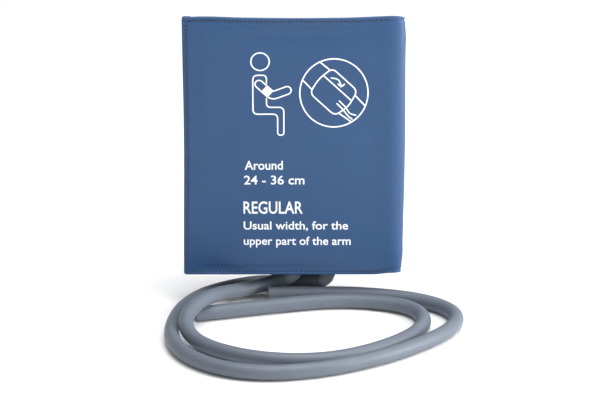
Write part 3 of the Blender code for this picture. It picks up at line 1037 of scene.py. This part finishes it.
def rounded(points, radius, closed=False):
    """The path through points with its corners rounded off."""
    path = [np.array(p, float) for p in points]
    count = len(path)
    result = [] if closed else [path[0]]
    for k in range(0 if closed else 1, count if closed else count - 1):
        before, corner, after = path[k - 1], path[k], path[(k + 1) % count]
        back, ahead = before - corner, after - corner
        reach = min(radius, 0.48 * np.linalg.norm(back), 0.48 * np.linalg.norm(ahead))
        start, end = corner + unit(back) * reach, corner + unit(ahead) * reach
        for t in np.linspace(0, 1, 7):
            result.append(start * (1 - t) ** 2 + corner * 2 * t * (1 - t) + end * t * t)
    if not closed:
        result.append(path[-1])
    return result


def stroke_count(length):
    return max(3, int(length / STROKE_STEP))


def stroke(points, radius=1.5, closed=False, width=STROKE):
    """A printed line: a ribbon of even width with round ends. Returns flat points and faces."""
    path = rounded(points, radius, closed)
    if closed:
        path = evenly(path + [path[0]], stroke_count)[0][:-1]
        tangent = unit(np.roll(path, -1, axis=0) - np.roll(path, 1, axis=0))
    else:
        path = evenly(path, stroke_count)[0]
        tangent = unit(np.gradient(path, axis=0))
    normal = np.stack([-tangent[:, 1], tangent[:, 0]], axis=1) * width / 2
    flat = [p for pair in zip(path + normal, path - normal) for p in pair]
    count = len(path)
    faces = [(2 * k, 2 * k + 1, 2 * k + 3, 2 * k + 2) for k in range(count - 1)]
    if closed:
        return flat, faces + [(2 * count - 2, 2 * count - 1, 1, 0)]
    angles = np.linspace(math.pi / 2, -math.pi / 2, 7)
    for k, way in ((0, -1.0), (count - 1, 1.0)):
        faces.append(tuple(range(len(flat), len(flat) + len(angles))))
        cap = tangent[k] * way * width / 2
        flat += [path[k] + normal[k] * math.sin(a) + cap * math.cos(a) for a in angles]
    return flat, faces


def circle(centre, radius, count):
    return [(centre[0] + radius * math.cos(k * 2 * math.pi / count),
             centre[1] + radius * math.sin(k * 2 * math.pi / count)) for k in range(count)]


def limb_outline(points, half):
    """The outline of a limb with round ends round a bent middle line."""
    path = np.array(rounded(points, 2.0))
    tangent = unit(np.gradient(path, axis=0))
    normal = np.stack([-tangent[:, 1], tangent[:, 0]], axis=1) * half
    outline = list(path + normal)
    turns = np.radians(np.linspace(80, -80, 9))
    outline += [path[-1] + normal[-1] * math.sin(a) + tangent[-1] * half * math.cos(a) for a in turns]
    outline += list((path - normal)[::-1])
    outline += [path[0] + normal[0] * math.sin(a) - tangent[0] * half * math.cos(a) for a in reversed(turns)]
    return outline


def seated_figure():
    """A plain seated person with a band on the upper arm, in the print's own millimetres."""
    head = stroke(circle((-17.6, 50.1), 4.85, 48), 0.2, True)
    body = stroke([(-14.3, 29.6), (-14.3, 24.8), (-5.1, 24.8), (-5.1, 9.2), (-8.4, 9.2), (-8.4, 21.0),
                   (-21.5, 21.0), (-21.5, 42.6), (-14.3, 42.6), (-14.3, 38.2)], 2.6)
    shoulder, elbow, hand = np.array([(-18.2, 37.7), (-11.2, 31.2), (-3.3, 34.2)])
    arm = stroke(limb_outline([shoulder, elbow, hand], 2.15), 0.1, True)
    way = unit(elbow - shoulder)
    side = np.array([-way[1], way[0]]) * 2.2
    first, second = shoulder + way * 3.6, shoulder + way * 8.2
    band = [first + side, first - side, second - side, second + side], [(0, 1, 2, 3)]
    return [head, body, arm, band]


def wrap_inset():
    """A round inset with a cuff closed round an arm and two hoses leading off it."""
    middle, radius, turn = np.array((21.5, 32.7)), 18.1, math.radians(-42)
    u, v = np.array((math.cos(turn), math.sin(turn))), np.array((-math.sin(turn), math.cos(turn)))

    def at(*pairs):
        """Places given along the arm and across it."""
        return [middle + u * a + v * b for a, b in pairs]

    border = stroke(circle(middle, radius, 90), 0.2, True)
    cuff = stroke(at((-9.5, -8.6), (8.5, -8.6), (10.5, 0), (8.5, 9.2), (-9.5, 9.2), (-11, 0)), 3.0, True)
    arm = [stroke(at((-16.4, 7.2), (-10.2, 7.6))), stroke(at((-16.8, -6.0), (-10.3, -6.4))),
           stroke(at((9.4, 6.6), (16.9, 6.0))), stroke(at((9.2, -6.2), (17.2, -5.2)))]
    flap = stroke(at((-10.6, 3.2), (9.6, 3.2)))
    hoses = [stroke(at((5.0, -1.2 - shift), (10.0, -1.4 - shift), (13.4, -2.6 - shift * 0.8),
                       (16.6, -1.0 - shift * 1.5)), 3.0, width=FINE_STROKE) for shift in (0.0, 1.9)]
    arrow = [stroke(at((-6.4, 5.0), (-3.0, 7.2), (0.6, 5.2)), 2.0, width=FINE_STROKE),
             stroke(at((-1.6, 5.0), (0.7, 5.0), (1.0, 7.2)), 0.1, width=FINE_STROKE)]
    shapes = [border, cuff, *arm, flap, *hoses, *arrow]
    for flat, _ in shapes:
        flat[:] = [(x, middle[1] + (z - middle[1]) * INSET_STRETCH) for x, z in flat]
    return shapes


# Generic wording: text, left end, baseline, cap height and width
PRINT_LINES = (
    ("Around", -26.2, -10.2, 5.1, 20.5),
    ("24 - 36 cm", -26.6, -18.6, 5.1, 32.5),
    ("REGULAR", -27.0, -35.3, 7.1, 32.0),
    ("Usual width, for the", -27.0, -44.5, 4.8, 56.5),
    ("upper part of the arm", -27.0, -53.4, 4.8, 58.0),
)
FONT_SIZE = 10.0
FONT_CAP = 7.2            # cap height of the built-in font at that size
FONT_WEIGHT = 0.13        # how far the letters' outlines are pushed out


def lettering(text, x, baseline, cap_height, width):
    """Flat points and faces of one line of plain letters, fitted to a cap height and a width."""
    curve = bpy.data.curves.new("letters", "FONT")
    curve.body = text
    curve.size = FONT_SIZE
    curve.offset = FONT_WEIGHT
    curve.resolution_u = 4
    carrier = bpy.data.objects.new("letters", curve)
    bpy.context.scene.collection.objects.link(carrier)
    bpy.context.view_layer.update()
    mesh = bpy.data.meshes.new_from_object(carrier.evaluated_get(bpy.context.evaluated_depsgraph_get()))
    bpy.data.objects.remove(carrier)
    flat = np.array([v.co[:2] for v in mesh.vertices])
    faces = [tuple(f.vertices) for f in mesh.polygons]
    bpy.data.meshes.remove(mesh)
    low = flat[:, 0].min()
    flat[:, 0] = x + (flat[:, 0] - low) * width / (flat[:, 0].max() - low)
    flat[:, 1] = baseline + flat[:, 1] * cap_height / FONT_CAP
    return list(flat), faces


def make_print():
    """All the ink as one film over the front panel. Shapes that cross lie on slightly different heights."""
    panel = PANELS["strap_end"]
    shapes = seated_figure() + wrap_inset() + [lettering(*line) for line in PRINT_LINES]
    points, faces = [], []
    for rank, (flat, shape_faces) in enumerate(shapes):
        base = len(points)
        lift = PRINT_LIFT + 0.004 * (rank % 6)
        points += [(x, panel.y(x, z, -1.0) - lift, z) for x, z in flat]
        for face in shape_faces:
            corners = [flat[q] for q in face]
            area = sum(a[0] * b[1] - a[1] * b[0] for a, b in zip(corners, corners[1:] + corners[:1]))
            faces.append(tuple(base + q for q in (face if area > 0 else face[::-1])))
    ink = mesh_piece("front_print", points, faces, [INK], smooth_shade=False)
    film = ink.modifiers.new("film", "SOLIDIFY")
    film.thickness = FILM * MM
    film.offset = -1.0
    apply_modifiers(ink)
    settle(ink, panel.name)


make_print()


# ---- floor and light

def make_stage():
    bpy.ops.mesh.primitive_plane_add(size=12.0, location=(0, 0, FLOOR_Z * MM))
    floor = bpy.context.object
    floor.name = "floor"
    floor.data.materials.append(Look("floor_white", (0.95, 0.95, 0.95), 0.6, 0.2).material)
    world = bpy.data.worlds.new("world")
    bpy.context.scene.world = world
    world.use_nodes = True
    background = world.node_tree.nodes["Background"]
    background.inputs["Color"].default_value = (1, 1, 1, 1)
    background.inputs["Strength"].default_value = 0.4


def area_light(name, place, aim, size, power):
    data = bpy.data.lights.new(name, "AREA")
    data.shape = "RECTANGLE"
    data.size, data.size_y = size
    data.energy = power
    light = bpy.data.objects.new(name, data)
    bpy.context.scene.collection.objects.link(light)
    light.location = place
    light.rotation_euler = (Vector(aim) - Vector(place)).to_track_quat("-Z", "Y").to_euler()


# Places, aims and sizes of the lights are in metres, their power in watts
make_stage()
area_light("top_light", (0.15, -0.1, 1.5), (0, 0, -0.05), (1.3, 1.3), 25.0)
area_light("right_light", (0.7, -0.25, 0.22), (0.03, 0, -0.03), (0.4, 0.6), 8.0)
area_light("front_light", (-0.4, -1.8, 0.9), (0, 0, 0), (1.2, 1.2), 0.6)
bpy.context.scene.view_settings.view_transform = "Standard"

for node in ("bladder_port_1", "bladder_port_2"):
    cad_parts[node].material_slots[0].material = BLADDER
